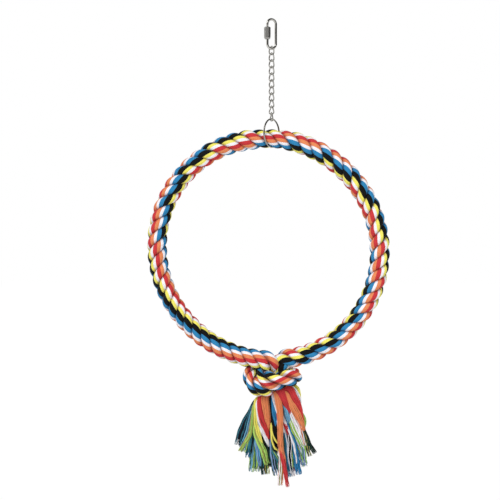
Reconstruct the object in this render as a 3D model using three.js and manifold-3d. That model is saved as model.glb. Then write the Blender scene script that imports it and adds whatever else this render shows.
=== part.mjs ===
// Hanging rope ring: a quick link, a short twisted-link chain, a wire ring, and a thick
// three-strand rope bent into a hoop whose two ends are knotted and frayed into a tassel.
// Millimetres, +Z up, seen from -Y. The origin is under the quick link's upper crown.
import * as THREE from 'three';
import { mergeVertices } from 'three/addons/utils/BufferGeometryUtils.js';
import Module from 'manifold-3d';

const degrees = THREE.MathUtils.degToRad;

// Clear space left between pieces that touch.
const CLEARANCE = 0.3;

// Quick link: an oval of round bar with a gap in one leg, closed by a long hexagon nut.
const QUICK_LINK_LENGTH = 39.6;
const QUICK_LINK_WIDTH = 15;
const QUICK_LINK_BAR = 3.3;
const QUICK_LINK_YAW = degrees(26);
const QUICK_LINK_SIDES = 10;
const QUICK_LINK_STEPS = 48;
const NUT_LENGTH = 15.4;
const NUT_ACROSS_FLATS = 7;
const NUT_RAISE = 1;
const NUT_CHAMFER = 1;
const NUT_LOWER_TAPER = 2.4;
const NUT_BORE_CLEARANCE = 0.5;
const NUT_LAP = 1.5;
const GATE_GAP = 4;

// Chain: oval links, each twisted about its own length, wide enough for the bars they hold.
const CHAIN_LINK_COUNT = 11;
const CHAIN_WIRE = 1.8;
const CHAIN_LINK_LENGTH = 12.1;
const CHAIN_LINK_SIDE_CLEARANCE = 0.45;
const CHAIN_LINK_TWIST = degrees(90);
const LAST_LINK_TWIST = degrees(41);
const CHAIN_YAW_DRIFT = degrees(26);
const CHAIN_LINK_SIDES = 6;
const CHAIN_LINK_STEPS = 20;

// Wire ring that carries the rope hoop, with a butt seam and slack round the rope. It bites
// into the groove between two strands.
const HANG_RING_WIRE = 2.2;
const HANG_RING_SLACK = 7.6;
const HANG_RING_BITE = 3.4;
const HANG_RING_YAW = degrees(57);
const HANG_RING_SEAM_AT = degrees(152);
const HANG_RING_SEAM = 0.4;
const HANG_RING_SIDES = 8;
const HANG_RING_STEPS = 40;

// Rope hoop: three strands laid right-handed round a stiffening wire.
const HOOP_RADIUS = 137.5;
const HOOP_SIDE_SHIFT = -4.6;
const ROPE_DIAMETER = 25;
const LAY_LENGTH = 45.5;
const STRAND_COUNT = 3;
const STRAND_GAP = 1.5;
const STRAND_GAP_TO_WIRE = 0.8;
const STRAND_SIDES = 6;
const STRAND_STEPS_PER_LAY = 10;
const CORE_WIRE_SIDES = 6;
const CORE_WIRE_STEPS = 64;
const CORE_WIRE_INSET = 3;

// Where the hoop's two ends lie at the bottom: one runs in front of the other.
const FRONT_END_X = 2;
const BACK_END_X = 32;
const FRONT_END_SHIFT = 7;
const END_SHIFT_ARC = degrees(24);

// Knot: the two rope ends, pulled tight, along points chosen from the hoop's lowest point.
const KNOT_ROPE_RADIUS = 7.7;
const KNOT_NECK_RADIUS = 5.5;
const KNOT_NECK_SHARE = 0.1;
const KNOT_SIDES = 10;
const KNOT_STEPS = 34;
const FRONT_END_ROUTE = [
  [2.3, -7, 0], [5.2, -7, 0], [10, -6.9, -2.8], [13.8, -5.4, -7.5], [15, -1, -12.8], [12.3, 4.5, -17],
  [6, 7.5, -19.8], [-0.8, 5.2, -21.5], [-4, -1.5, -22.5], [-1.7, -8.5, -23.5], [5, -12.2, -24.7],
  [13.5, -12.8, -26], [22, -10.5, -26.5], [28.5, -5.2, -27], [31, 2, -28], [28, 9, -30.5],
  [21.5, 13.5, -34], [14, 15.8, -38], [7, 16, -42.5], [0, 14.5, -48],
];
const BACK_END_ROUTE = [
  [31.7, 0, 3.7], [28.6, 0.1, 3], [22.5, 4, 2.8], [16.3, 8.8, 2.6], [9.8, 12.6, 2], [2.4, 14.8, 0.6],
  [-5, 15, -1.9], [-11.7, 13.8, -6], [-17, 10.6, -11.2], [-20.3, 5.8, -16.5], [-21.2, 0.2, -22.4],
  [-19.2, -4.5, -28.6], [-14.4, -6.8, -34.4], [-7.9, -6, -38.6], [-0.9, -3.7, -41.4], [6, -1.4, -44.5],
];

// Tassel: each rope end opens into three strands of loose yarn, each ending in a few locks.
// Lock tips are chosen from the hoop's lowest point, as across, depth and height.
const LOCK_SIDES = 7;
const LOCK_STEPS = 8;
const LOCK_ROOT_RADIUS = 3;
const LOCK_BODY_RADIUS = 3.6;
const LOCK_TIP_RADIUS = 1.8;
const LOCK_LEAVE_SHARE = 0.25;
const SLIVER = 0.05;
const TAIL_ROOT_CIRCLE = 4.6;
const LEFT_TAIL_LOCKS = [
  [[-37.5, 9, -103.5], [-32.5, 13, -112], [-24.5, 9, -113.5]],
  [[-20.5, 21, -138], [-13, 20, -138]],
  [[-6, 6, -141.5], [0.5, 9, -135], [-13, 4, -128]],
];
const RIGHT_TAIL_LOCKS = [
  [[10.8, -5, -141], [14.5, -10, -152], [22.5, -9, -154.5], [5, -8, -132]],
  [[27, 14, -143.5], [37.5, 11, -142], [45, 13, -130.5]],
  [[50, -7, -117.5], [56.5, -5, -113.5], [38, -9, -128]],
];

const UP = new THREE.Vector3(0, 0, 1);
const FULL_TURN = 2 * Math.PI;

const wasm = await Module();
wasm.setup();

// A bare, welded geometry for the solid operations.
function toManifold(geometry) {
  const bare = geometry.clone();
  bare.deleteAttribute('normal');
  bare.deleteAttribute('uv');
  const welded = mergeVertices(bare, 1e-4);
  const mesh = new wasm.Mesh({
    numProp: 3,
    vertProperties: new Float32Array(welded.attributes.position.array),
    triVerts: new Uint32Array(welded.index.array),
  });
  return new wasm.Manifold(mesh);
}

function fromManifold(solid) {
  const mesh = solid.getMesh();
  const geometry = new THREE.BufferGeometry();
  geometry.setAttribute('position', new THREE.BufferAttribute(new Float32Array(mesh.vertProperties), 3));
  geometry.setIndex(new THREE.BufferAttribute(new Uint32Array(mesh.triVerts), 1));
  geometry.computeVertexNormals();
  return geometry;
}

// A regular polygon as an outline.
function polygon(radius, sides) {
  const corners = [];
  for (let corner = 0; corner < sides; corner += 1) {
    const angle = (FULL_TURN * corner) / sides;
    corners.push(new THREE.Vector2(radius * Math.cos(angle), radius * Math.sin(angle)));
  }
  return new THREE.Shape(corners);
}

// A plain round bar along an open curve.
function roundBar(curve, steps, sides, radius) {
  return new THREE.ExtrudeGeometry(polygon(radius, sides), { steps, extrudePath: curve, bevelEnabled: false });
}

// A round bar whose radius changes along the curve, with flat ends or joined into a loop.
function shapedBar(curve, steps, sides, radiusAt, closed = false) {
  const frames = curve.computeFrenetFrames(steps, closed);
  const ringCount = closed ? steps : steps + 1;
  const positions = [];
  const triangles = [];
  for (let ring = 0; ring < ringCount; ring += 1) {
    const along = ring / steps;
    const centre = curve.getPointAt(along);
    const radius = radiusAt(along);
    for (let side = 0; side < sides; side += 1) {
      const angle = (FULL_TURN * side) / sides;
      const point = centre.clone();
      point.addScaledVector(frames.normals[ring], radius * Math.cos(angle));
      point.addScaledVector(frames.binormals[ring], radius * Math.sin(angle));
      positions.push(point.x, point.y, point.z);
    }
  }
  for (let ring = 0; ring < steps; ring += 1) {
    const here = ring * sides;
    const next = ((ring + 1) % ringCount) * sides;
    for (let side = 0; side < sides; side += 1) {
      const beside = (side + 1) % sides;
      triangles.push(here + side, here + beside, next + beside);
      triangles.push(here + side, next + beside, next + side);
    }
  }
  if (!closed) {
    const last = steps * sides;
    for (let side = 1; side < sides - 1; side += 1) {
      triangles.push(0, side + 1, side);
      triangles.push(last, last + side, last + side + 1);
    }
  }
  const geometry = new THREE.BufferGeometry();
  geometry.setAttribute('position', new THREE.Float32BufferAttribute(positions, 3));
  geometry.setIndex(triangles);
  geometry.computeVertexNormals();
  return geometry;
}

// Centreline of an upright oval of bar: two straight legs and two half-round crowns.
// It starts on the left leg, a given height above the oval's middle, and runs downward.
class OvalCurve extends THREE.Curve {
  constructor(length, width, start, gap) {
    super();
    this.arcLengthDivisions = 800;
    this.crown = width / 2;
    this.straight = length - width;
    this.start = start;
    this.run = 2 * this.straight + FULL_TURN * this.crown - gap;
  }

  getPoint(t, target = new THREE.Vector3()) {
    const halfRound = Math.PI * this.crown;
    const total = 2 * (this.straight + halfRound);
    const half = this.straight / 2;
    let distance = (half - this.start + t * this.run) % total;
    if (distance <= this.straight) {
      return target.set(-this.crown, 0, half - distance);
    }
    distance -= this.straight;
    if (distance <= halfRound) {
      const turn = distance / this.crown;
      return target.set(-this.crown * Math.cos(turn), 0, -half - this.crown * Math.sin(turn));
    }
    distance -= halfRound;
    if (distance <= this.straight) {
      return target.set(this.crown, 0, distance - half);
    }
    const turn = (distance - this.straight) / this.crown;
    return target.set(this.crown * Math.cos(turn), 0, half + this.crown * Math.sin(turn));
  }
}

// The same oval twisted about its length: the upper crown keeps its plane.
class TwistedOvalCurve extends OvalCurve {
  constructor(length, width, twist) {
    super(length, width, 0, 0);
    this.length = length;
    this.twist = twist;
  }

  getPoint(t, target = new THREE.Vector3()) {
    super.getPoint(t, target);
    const depth = 0.5 - target.z / this.length;
    return target.applyAxisAngle(UP, this.twist * depth);
  }
}

// A round arc in the XZ plane, counted from +X towards +Z.
class ArcCurve extends THREE.Curve {
  constructor(radius, from, to) {
    super();
    this.radius = radius;
    this.from = from;
    this.to = to;
  }

  getPoint(t, target = new THREE.Vector3()) {
    const angle = THREE.MathUtils.lerp(this.from, this.to, t);
    return target.set(this.radius * Math.cos(angle), 0, this.radius * Math.sin(angle));
  }
}

// Centreline of the hoop, clockwise from its front end to its back end, or a helix round that
// line when an offset is given. Angles are clockwise from the top.
const hoopFrom = Math.PI - Math.asin(FRONT_END_X / HOOP_RADIUS);
const hoopTo = 3 * Math.PI - Math.asin(BACK_END_X / HOOP_RADIUS);
const laysPerTurn = (FULL_TURN * HOOP_RADIUS) / LAY_LENGTH;

class HoopCurve extends THREE.Curve {
  constructor(offset, phase, inset) {
    super();
    this.arcLengthDivisions = 4000;
    this.offset = offset;
    this.phase = phase;
    this.from = hoopFrom + inset / HOOP_RADIUS;
    this.to = hoopTo - inset / HOOP_RADIUS;
  }

  getPoint(t, target = new THREE.Vector3()) {
    const angle = THREE.MathUtils.lerp(this.from, this.to, t);
    const turn = laysPerTurn * angle + this.phase;
    const radius = HOOP_RADIUS + this.offset * Math.cos(turn);
    const fromEnd = THREE.MathUtils.smoothstep(angle - hoopFrom, 0, END_SHIFT_ARC);
    const depth = -FRONT_END_SHIFT * (1 - fromEnd) - this.offset * Math.sin(turn);
    return target.set(radius * Math.sin(angle), depth, radius * Math.cos(angle));
  }
}

const steel = (color) => new THREE.MeshStandardMaterial({ color, metalness: 1, roughness: 0.25 });
const yarn = (color) => new THREE.MeshStandardMaterial({ color, metalness: 0, roughness: 0.95 });
const linkSteel = steel('#c9ccd0');
const nutSteel = steel('#b9bdc2');
const chainSteel = steel('#c4c7cb');
const ringSteel = steel('#cfd2d6');
const coreSteel = steel('#8a8d91');
const strandYarn = [yarn('#c94045'), yarn('#3284bf'), yarn('#efe25c')];
const frontEndYarn = yarn('#e58556');
const backEndYarn = yarn('#2f7db8');
const leftTailYarn = [yarn('#1e3a4a'), yarn('#9ccb55'), yarn('#f0e35f')];
const rightTailYarn = [yarn('#e08550'), yarn('#cf3f44'), yarn('#2f7db8')];

const object = new THREE.Group();
object.name = 'bird_ring_toy';

function addPiece(parent, name, geometry, material) {
  const mesh = new THREE.Mesh(geometry, material);
  mesh.name = name;
  parent.add(mesh);
  return mesh;
}

// Quick link. Its nut hangs over the gap in the left leg and laps the lower end.
const quickLink = new THREE.Group();
quickLink.position.z = QUICK_LINK_BAR - QUICK_LINK_LENGTH / 2;
quickLink.rotation.z = QUICK_LINK_YAW;
object.add(quickLink);
const barRadius = QUICK_LINK_BAR / 2;
const nutBottom = NUT_RAISE - NUT_LENGTH / 2;
const quickLinkCurve = new OvalCurve(
  QUICK_LINK_LENGTH - QUICK_LINK_BAR,
  QUICK_LINK_WIDTH - QUICK_LINK_BAR,
  nutBottom + NUT_LAP,
  GATE_GAP,
);
const linkBar = roundBar(quickLinkCurve, QUICK_LINK_STEPS, QUICK_LINK_SIDES, barRadius);
addPiece(quickLink, 'quick_link_body', linkBar, linkSteel);

const cornerRadius = NUT_ACROSS_FLATS / Math.sqrt(3);
const hexBar = new THREE.ExtrudeGeometry(polygon(cornerRadius, 6), { depth: NUT_LENGTH, bevelEnabled: false });
const nutEnvelope = new THREE.LatheGeometry(
  [
    new THREE.Vector2(0, 0),
    new THREE.Vector2(cornerRadius - NUT_CHAMFER, 0),
    new THREE.Vector2(cornerRadius, NUT_LOWER_TAPER),
    new THREE.Vector2(cornerRadius, NUT_LENGTH - NUT_CHAMFER),
    new THREE.Vector2(cornerRadius - NUT_CHAMFER, NUT_LENGTH),
    new THREE.Vector2(0, NUT_LENGTH),
  ],
  36,
);
nutEnvelope.rotateX(Math.PI / 2);
const boreRadius = barRadius + NUT_BORE_CLEARANCE;
const bore = new THREE.CylinderGeometry(boreRadius, boreRadius, 2 * NUT_LENGTH, 24);
bore.rotateX(Math.PI / 2);
bore.translate(0, 0, NUT_LENGTH / 2);
const nutSolid = toManifold(hexBar).intersect(toManifold(nutEnvelope)).subtract(toManifold(bore));
const nut = addPiece(quickLink, 'quick_link_nut', fromManifold(nutSolid), nutSteel);
nut.position.set(-quickLinkCurve.crown, 0, nutBottom);

// Chain. Each upper crown crosses the crown above it; the links turn slowly on the way down.
const linkInsideWidth = Math.max(QUICK_LINK_BAR, HANG_RING_WIRE) + 2 * CHAIN_LINK_SIDE_CLEARANCE;
const linkCentreWidth = linkInsideWidth + CHAIN_WIRE;
const linkCentreLength = CHAIN_LINK_LENGTH - CHAIN_WIRE;
const chainPitch = linkCentreLength - CHAIN_WIRE - CLEARANCE;
const chainTop = 2 * QUICK_LINK_BAR - QUICK_LINK_LENGTH + CLEARANCE + CHAIN_WIRE / 2;
for (let link = 0; link < CHAIN_LINK_COUNT; link += 1) {
  const last = link === CHAIN_LINK_COUNT - 1;
  const twist = last ? LAST_LINK_TWIST : CHAIN_LINK_TWIST;
  const drift = (CHAIN_YAW_DRIFT * link) / (CHAIN_LINK_COUNT - 1);
  const curve = new TwistedOvalCurve(linkCentreLength, linkCentreWidth, twist);
  const wire = shapedBar(curve, CHAIN_LINK_STEPS, CHAIN_LINK_SIDES, () => CHAIN_WIRE / 2, true);
  const mesh = addPiece(object, `chain_link_${String(link + 1).padStart(2, '0')}`, wire, chainSteel);
  mesh.rotation.z = QUICK_LINK_YAW - Math.PI / 2 - drift;
  mesh.position.z = chainTop - chainPitch * link - linkCentreLength / 2;
}

// Wire ring through the last link.
const chainBottom = chainTop - chainPitch * (CHAIN_LINK_COUNT - 1) - linkCentreLength;
const ringTop = chainBottom + CHAIN_WIRE / 2 + CLEARANCE + HANG_RING_WIRE / 2;
const ringRadius = (ROPE_DIAMETER + HANG_RING_SLACK + HANG_RING_WIRE) / 2;
const halfSeam = HANG_RING_SEAM / (2 * ringRadius);
const ringCurve = new ArcCurve(
  ringRadius,
  HANG_RING_SEAM_AT + halfSeam,
  HANG_RING_SEAM_AT + FULL_TURN - halfSeam,
);
const ringBar = roundBar(ringCurve, HANG_RING_STEPS, HANG_RING_SIDES, HANG_RING_WIRE / 2);
const hangRing = addPiece(object, 'hang_ring', ringBar, ringSteel);
hangRing.rotation.z = HANG_RING_YAW;
hangRing.position.z = ringTop - ringRadius;

// Rope hoop, resting in the wire ring.
const ringInsideBottom = ringTop - 2 * ringRadius + HANG_RING_WIRE / 2;
const ropeUnderside = ringInsideBottom + CLEARANCE - HANG_RING_BITE;
const hoop = new THREE.Group();
hoop.position.set(HOOP_SIDE_SHIFT, 0, ropeUnderside + ROPE_DIAMETER / 2 - HOOP_RADIUS);
object.add(hoop);

// Least distance between the centrelines of two neighbouring strands, looked for along one lay.
function strandSpacing(offset) {
  const step = FULL_TURN / STRAND_COUNT;
  const rise = LAY_LENGTH / FULL_TURN;
  let least = Infinity;
  for (let turn = -step; turn <= 0; turn += 0.01) {
    const across = 2 * offset * Math.sin((turn + step) / 2);
    least = Math.min(least, Math.hypot(across, rise * turn));
  }
  return least;
}

// The thickest strands that fill the rope's diameter and keep their gap.
let strandRadius = ROPE_DIAMETER / 4;
for (let pass = 0; pass < 20; pass += 1) {
  strandRadius = (strandSpacing(ROPE_DIAMETER / 2 - strandRadius) - STRAND_GAP) / 2;
}
const strandOffset = ROPE_DIAMETER / 2 - strandRadius;

// The strands run on past the hoop's ends and are cut off square there.
function endBlock(angle, side) {
  const block = new THREE.BoxGeometry(4 * strandRadius, 2 * ROPE_DIAMETER, 2 * ROPE_DIAMETER);
  block.translate(side * 2 * strandRadius, 0, HOOP_RADIUS);
  block.rotateY(angle);
  return toManifold(block);
}

const frontBlock = endBlock(hoopFrom, -1);
const backBlock = endBlock(hoopTo, 1);
const strandSteps = Math.round(laysPerTurn * STRAND_STEPS_PER_LAY);
const ringAngle = Math.asin(-HOOP_SIDE_SHIFT / HOOP_RADIUS);
const grooveTurn = Math.PI - Math.PI / STRAND_COUNT - laysPerTurn * (FULL_TURN + ringAngle);
for (let strand = 0; strand < STRAND_COUNT; strand += 1) {
  const phase = grooveTurn - (strand * FULL_TURN) / STRAND_COUNT;
  const curve = new HoopCurve(strandOffset, phase, -strandRadius);
  const long = toManifold(roundBar(curve, strandSteps, STRAND_SIDES, strandRadius));
  const cut = fromManifold(long.subtract(frontBlock).subtract(backBlock));
  addPiece(hoop, `rope_strand_${strand + 1}`, cut, strandYarn[strand]);
}

const coreRadius = strandOffset - strandRadius - STRAND_GAP_TO_WIRE;
const coreCurve = new HoopCurve(0, 0, CORE_WIRE_INSET);
addPiece(hoop, 'core_wire', roundBar(coreCurve, CORE_WIRE_STEPS, CORE_WIRE_SIDES, coreRadius), coreSteel);

// Knot, hung from the hoop's lowest point.
const knot = new THREE.Group();
knot.position.z = -HOOP_RADIUS;
hoop.add(knot);
const toPoint = (place) => new THREE.Vector3(...place);
const frontEndCurve = new THREE.CatmullRomCurve3(FRONT_END_ROUTE.map(toPoint), false, 'centripetal');
const backEndCurve = new THREE.CatmullRomCurve3(BACK_END_ROUTE.map(toPoint), false, 'centripetal');

function knotRadius(along) {
  const grip = THREE.MathUtils.smoothstep(along, 0, KNOT_NECK_SHARE);
  return THREE.MathUtils.lerp(KNOT_NECK_RADIUS, KNOT_ROPE_RADIUS, grip);
}

addPiece(knot, 'knot_front_end', shapedBar(frontEndCurve, KNOT_STEPS, KNOT_SIDES, knotRadius), frontEndYarn);
addPiece(knot, 'knot_back_end', shapedBar(backEndCurve, KNOT_STEPS, KNOT_SIDES, knotRadius), backEndYarn);

// Tassel. A tail's strands leave the flat end of the knotted rope side by side.
function lockRadius(along) {
  if (along < 0.5) {
    return THREE.MathUtils.lerp(LOCK_ROOT_RADIUS, LOCK_BODY_RADIUS, along * 2);
  }
  return THREE.MathUtils.lerp(LOCK_BODY_RADIUS, LOCK_TIP_RADIUS, along * 2 - 1);
}

function lockSolid(root, heading, tip) {
  const reach = root.distanceTo(tip) * LOCK_LEAVE_SHARE;
  const leave = root.clone().addScaledVector(heading, reach);
  const arrive = tip.clone().addScaledVector(UP, reach);
  const path = new THREE.CubicBezierCurve3(root, leave, arrive, tip);
  return toManifold(shapedBar(path, LOCK_STEPS, LOCK_SIDES, lockRadius));
}

function addTail(prefix, curve, strands, materials) {
  const end = curve.getPointAt(1);
  const heading = curve.getTangentAt(1);
  const across = new THREE.Vector3(1, 0, 0);
  across.addScaledVector(heading, -across.dot(heading)).normalize();
  const through = new THREE.Vector3().crossVectors(heading, across);
  strands.forEach((locks, strand) => {
    const spot = Math.PI + (strand * FULL_TURN) / strands.length;
    const root = end.clone().addScaledVector(heading, CLEARANCE);
    root.addScaledVector(across, TAIL_ROOT_CIRCLE * Math.cos(spot));
    root.addScaledVector(through, TAIL_ROOT_CIRCLE * Math.sin(spot));
    const solids = locks.map((lock) => lockSolid(root, heading, toPoint(lock)));
    const joined = solids.reduce((sum, next) => sum.add(next));
    const solid = joined.asOriginal().simplify(SLIVER);
    addPiece(knot, `${prefix}_${strand + 1}`, fromManifold(solid), materials[strand]);
  });
}

addTail('left_tail', frontEndCurve, LEFT_TAIL_LOCKS, leftTailYarn);
addTail('right_tail', backEndCurve, RIGHT_TAIL_LOCKS, rightTailYarn);

export default object;
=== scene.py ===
# Hanging rope ring for a cage bird: a knotted cotton hoop with a frayed tassel, on a wire ring, a
# short chain and a quick link. Metres, +Z up, seen from -Y.
import random
from collections import namedtuple
from math import asin, cos, pi, radians, sin, sqrt, tau

import bmesh
import bpy
from mathutils import Matrix, Vector


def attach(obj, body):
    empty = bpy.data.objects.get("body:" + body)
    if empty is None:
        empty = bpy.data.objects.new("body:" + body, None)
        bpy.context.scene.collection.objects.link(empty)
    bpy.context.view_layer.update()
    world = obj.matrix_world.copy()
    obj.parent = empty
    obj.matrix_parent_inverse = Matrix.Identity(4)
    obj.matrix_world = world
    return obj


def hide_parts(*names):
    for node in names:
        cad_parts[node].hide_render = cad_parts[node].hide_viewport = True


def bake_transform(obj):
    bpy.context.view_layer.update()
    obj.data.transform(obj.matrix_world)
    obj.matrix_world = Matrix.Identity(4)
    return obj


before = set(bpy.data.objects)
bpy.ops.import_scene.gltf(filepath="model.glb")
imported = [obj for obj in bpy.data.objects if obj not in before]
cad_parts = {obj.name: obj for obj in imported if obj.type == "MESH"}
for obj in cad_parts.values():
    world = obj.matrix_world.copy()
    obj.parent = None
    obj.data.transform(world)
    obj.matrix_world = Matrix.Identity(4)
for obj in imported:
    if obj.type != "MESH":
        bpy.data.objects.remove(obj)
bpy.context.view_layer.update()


# Studio: the toy hangs in front of a white ground, over a pale floor that takes its shadow.
# A broad light high on the left and a weak lamp on the right light it. Three dark cards, behind the
# camera, on the right and above, seen by mirrored light alone, give the metal its dark lines.
photo_width = 0.6194
photo_middle = Vector((-0.0267, 0, -0.2841))
camera_distance = 3.0
floor_height = -0.75
floor_half_width = 30
floor_glow = 1.06
floor_glow_share = 0.84
card_half_width = 7
lit_level = 0.45
seen_level = 1.0
lamp_target = Vector((0, 0, -0.3))

scene = bpy.context.scene
scene.view_settings.view_transform = "Standard"

lens = bpy.data.cameras.new("camera")
lens.sensor_width = 36
lens.lens = lens.sensor_width * camera_distance / photo_width
lens.dof.use_dof = False
camera = bpy.data.objects.new("camera", lens)
camera.location = photo_middle - Vector((0, camera_distance, 0))
camera.rotation_euler = (radians(90), 0, 0)
scene.collection.objects.link(camera)
scene.camera = camera


def feed(tree, node, given):
    """Gives each of these inputs of a node its value or its link."""
    for name, value in given.items():
        if isinstance(value, bpy.types.NodeSocket):
            tree.links.new(value, node.inputs[name])
        else:
            node.inputs[name].default_value = value


def add_node(tree, kind, given=None, **settings):
    """A shader node with these settings, fed with what is given."""
    node = tree.nodes.new(kind)
    for name, value in settings.items():
        setattr(node, name, value)
    feed(tree, node, given or {})
    return node


def calc(tree, operation, *values):
    """What a Math node makes of these numbers and sockets."""
    return add_node(tree, "ShaderNodeMath", dict(enumerate(values)), operation=operation).outputs[0]


def seen_directly(tree):
    """1 on rays from the camera and on mirrored or refracted ones, 0 on those that light a surface."""
    path = add_node(tree, "ShaderNodeLightPath").outputs
    mirrored = calc(tree, "MAXIMUM", path["Is Glossy Ray"], path["Is Transmission Ray"])
    return calc(tree, "MAXIMUM", path["Is Camera Ray"], mirrored)


world = bpy.data.worlds.new("studio")
scene.world = world
world.use_nodes = True
tree = world.node_tree
tree.nodes.clear()
level = add_node(tree, "ShaderNodeMapRange", {
    "Value": seen_directly(tree), "To Min": lit_level, "To Max": seen_level,
}).outputs["Result"]
sky = add_node(tree, "ShaderNodeBackground", {"Color": (1, 1, 1, 1), "Strength": level}).outputs[0]
add_node(tree, "ShaderNodeOutputWorld", {"Surface": sky})


def aim(place):
    """Turns a lamp at this place towards the middle of the toy."""
    return (lamp_target - Vector(place)).to_track_quat("-Z", "Y").to_euler()


broad_light = bpy.data.lights.new("broad_light", "SUN")
broad_light.angle = radians(38)
broad_light.energy = 1.9
broad_lamp = bpy.data.objects.new("broad_light", broad_light)
broad_lamp.rotation_euler = aim((-0.9, -1.6, 1.0))
scene.collection.objects.link(broad_lamp)

weak_light = bpy.data.lights.new("weak_light", "AREA")
weak_light.shape = "DISK"
weak_light.size = 0.8
weak_light.energy = 5
weak_lamp = bpy.data.objects.new("weak_light", weak_light)
weak_lamp.location = (1.3, -1.2, -0.2)
weak_lamp.rotation_euler = aim(weak_lamp.location)
weak_lamp.visible_glossy = False
scene.collection.objects.link(weak_lamp)


def add_panel(name, matrix, half_width):
    """A square panel that belongs to the studio."""
    bm = bmesh.new()
    bmesh.ops.create_grid(bm, x_segments=1, y_segments=1, size=half_width, matrix=matrix)
    mesh = bpy.data.meshes.new(name)
    bm.to_mesh(mesh)
    bm.free()
    panel = bpy.data.objects.new(name, mesh)
    scene.collection.objects.link(panel)
    return panel


def new_material(name):
    material = bpy.data.materials.new(name)
    material.use_nodes = True
    return material


floor = add_panel("floor", Matrix.Translation((0, 0, floor_height)), floor_half_width)
paper = new_material("floor_paper")
floor.data.materials.append(paper)
tree = paper.node_tree
tree.nodes.clear()
matt = add_node(tree, "ShaderNodeBsdfDiffuse", {"Color": (0.92, 0.92, 0.92, 1)}).outputs[0]
glow = add_node(tree, "ShaderNodeEmission", {"Strength": floor_glow}).outputs[0]
share = calc(tree, "MULTIPLY", seen_directly(tree), floor_glow_share)
both = add_node(tree, "ShaderNodeMixShader", {"Fac": share, 1: matt, 2: glow}).outputs[0]
add_node(tree, "ShaderNodeOutputMaterial", {"Surface": both})

grey_felt = new_material("grey_felt")
tree = grey_felt.node_tree
tree.nodes.clear()
felt = add_node(tree, "ShaderNodeEmission", {"Color": (0.03, 0.03, 0.028, 1)}).outputs[0]
add_node(tree, "ShaderNodeOutputMaterial", {"Surface": felt})
card_places = {
    "front_card": Matrix.Translation((3, -6, 2)) @ Matrix.Rotation(radians(-90), 4, "X"),
    "right_card": Matrix.Translation((9, 0, 2)) @ Matrix.Rotation(radians(-90), 4, "Y"),
    "above_card": Matrix.Translation((1, -1, 9)),
}
for name, place in card_places.items():
    card = add_panel(name, place, card_half_width)
    card.data.materials.append(grey_felt)
    card.visible_camera = False
    card.visible_diffuse = False
    card.visible_shadow = False
    card.visible_transmission = False


# Quick link body: a steel wire bent to a long oval and plated bright, open in one leg. The upper
# end at the gap carries a screw thread, which shows between the nut and the crown.
mm = 0.001
bar_radius = 1.58 * mm
bar_sides = 28
link_crown = 5.85 * mm
link_straight = 24.6 * mm
link_middle = -16.5 * mm
link_yaw = radians(26)
gate_top = -1.2 * mm
gate_gap = 4.0 * mm
thread_length = 12.5 * mm
thread_pitch = 0.75 * mm
thread_depth = 0.27 * mm


def carried_frames(points, out, closed=False):
    """Each point with two directions square to the line there, carried along it without twisting."""
    line = list(points)
    count = len(line)
    if closed:
        line.append(line[0])
    frames = []
    for i, point in enumerate(line):
        if closed:
            heading = line[(i + 1) % count] - line[(i - 1) % count]
        else:
            heading = line[min(i + 1, count - 1)] - line[max(i - 1, 0)]
        heading = heading.normalized()
        out = (out - heading * out.dot(heading)).normalized()
        frames.append((point, out, heading.cross(out)))
    if not closed:
        return frames
    start = frames[0]
    slip = start[1].angle(out)
    if out.dot(start[2]) < 0:
        slip = -slip
    evened = []
    for i, (point, out, side) in enumerate(frames):
        back = -slip * i / count
        evened.append((point, out * cos(back) + side * sin(back), side * cos(back) - out * sin(back)))
    return evened


def wind_tube(bm, frames, around, radius_at, angle_at=lambda i, turn: tau * turn, mark=None):
    """Rolls a grid into a tube along the frames, with its ends open or, on a loop, joined."""
    steps = len(frames) - 1
    grid = bmesh.ops.create_grid(bm, x_segments=steps, y_segments=around, size=0.5, calc_uvs=True)
    for vert in grid["verts"]:
        i = round((vert.co.x + 0.5) * steps)
        turn = vert.co.y + 0.5
        point, out, side = frames[i]
        angle = angle_at(i, turn)
        vert.co = point + (out * cos(angle) + side * sin(angle)) * radius_at(i, turn)
        if mark:
            mark(vert, angle)
    bmesh.ops.remove_doubles(bm, verts=grid["verts"], dist=1e-7)
    return [vert for vert in grid["verts"] if vert.is_valid]


def close_ends(bm):
    """Fills each open end with a flat face whose rim stays sharp."""
    rims = [edge for edge in bm.edges if edge.is_boundary]
    for edge in rims:
        edge.smooth = False
    for face in bmesh.ops.holes_fill(bm, edges=rims, sides=0)["faces"]:
        face.smooth = False


def start_mesh():
    """An empty bmesh with room for the winding's map."""
    bm = bmesh.new()
    bm.loops.layers.uv.new("UVMap")
    return bm


def finish_piece(bm, name, material, nodes):
    """Turns a bmesh into a smooth piece that stands for these CAD nodes."""
    for face in bm.faces:
        if len(face.verts) < 5:
            face.smooth = True
    bmesh.ops.recalc_face_normals(bm, faces=bm.faces)
    mesh = bpy.data.meshes.new(name)
    bm.to_mesh(mesh)
    bm.free()
    mesh.materials.append(material)
    piece = bpy.data.objects.new(name, mesh)
    scene.collection.objects.link(piece)
    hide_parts(*nodes)
    return piece


def oval_point(crown, straight, run):
    """A point of an upright oval in the XZ plane. run is the way to it along the oval, from the top of
    the left leg down that leg first."""
    half = straight / 2
    run %= 2 * straight + tau * crown
    if run <= straight:
        return Vector((-crown, 0, half - run))
    run -= straight
    if run <= pi * crown:
        return Vector((-crown * cos(run / crown), 0, -half - crown * sin(run / crown)))
    run -= pi * crown
    if run <= straight:
        return Vector((crown, 0, run - half))
    run -= straight
    return Vector((crown * cos(run / crown), 0, half + crown * sin(run / crown)))


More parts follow.
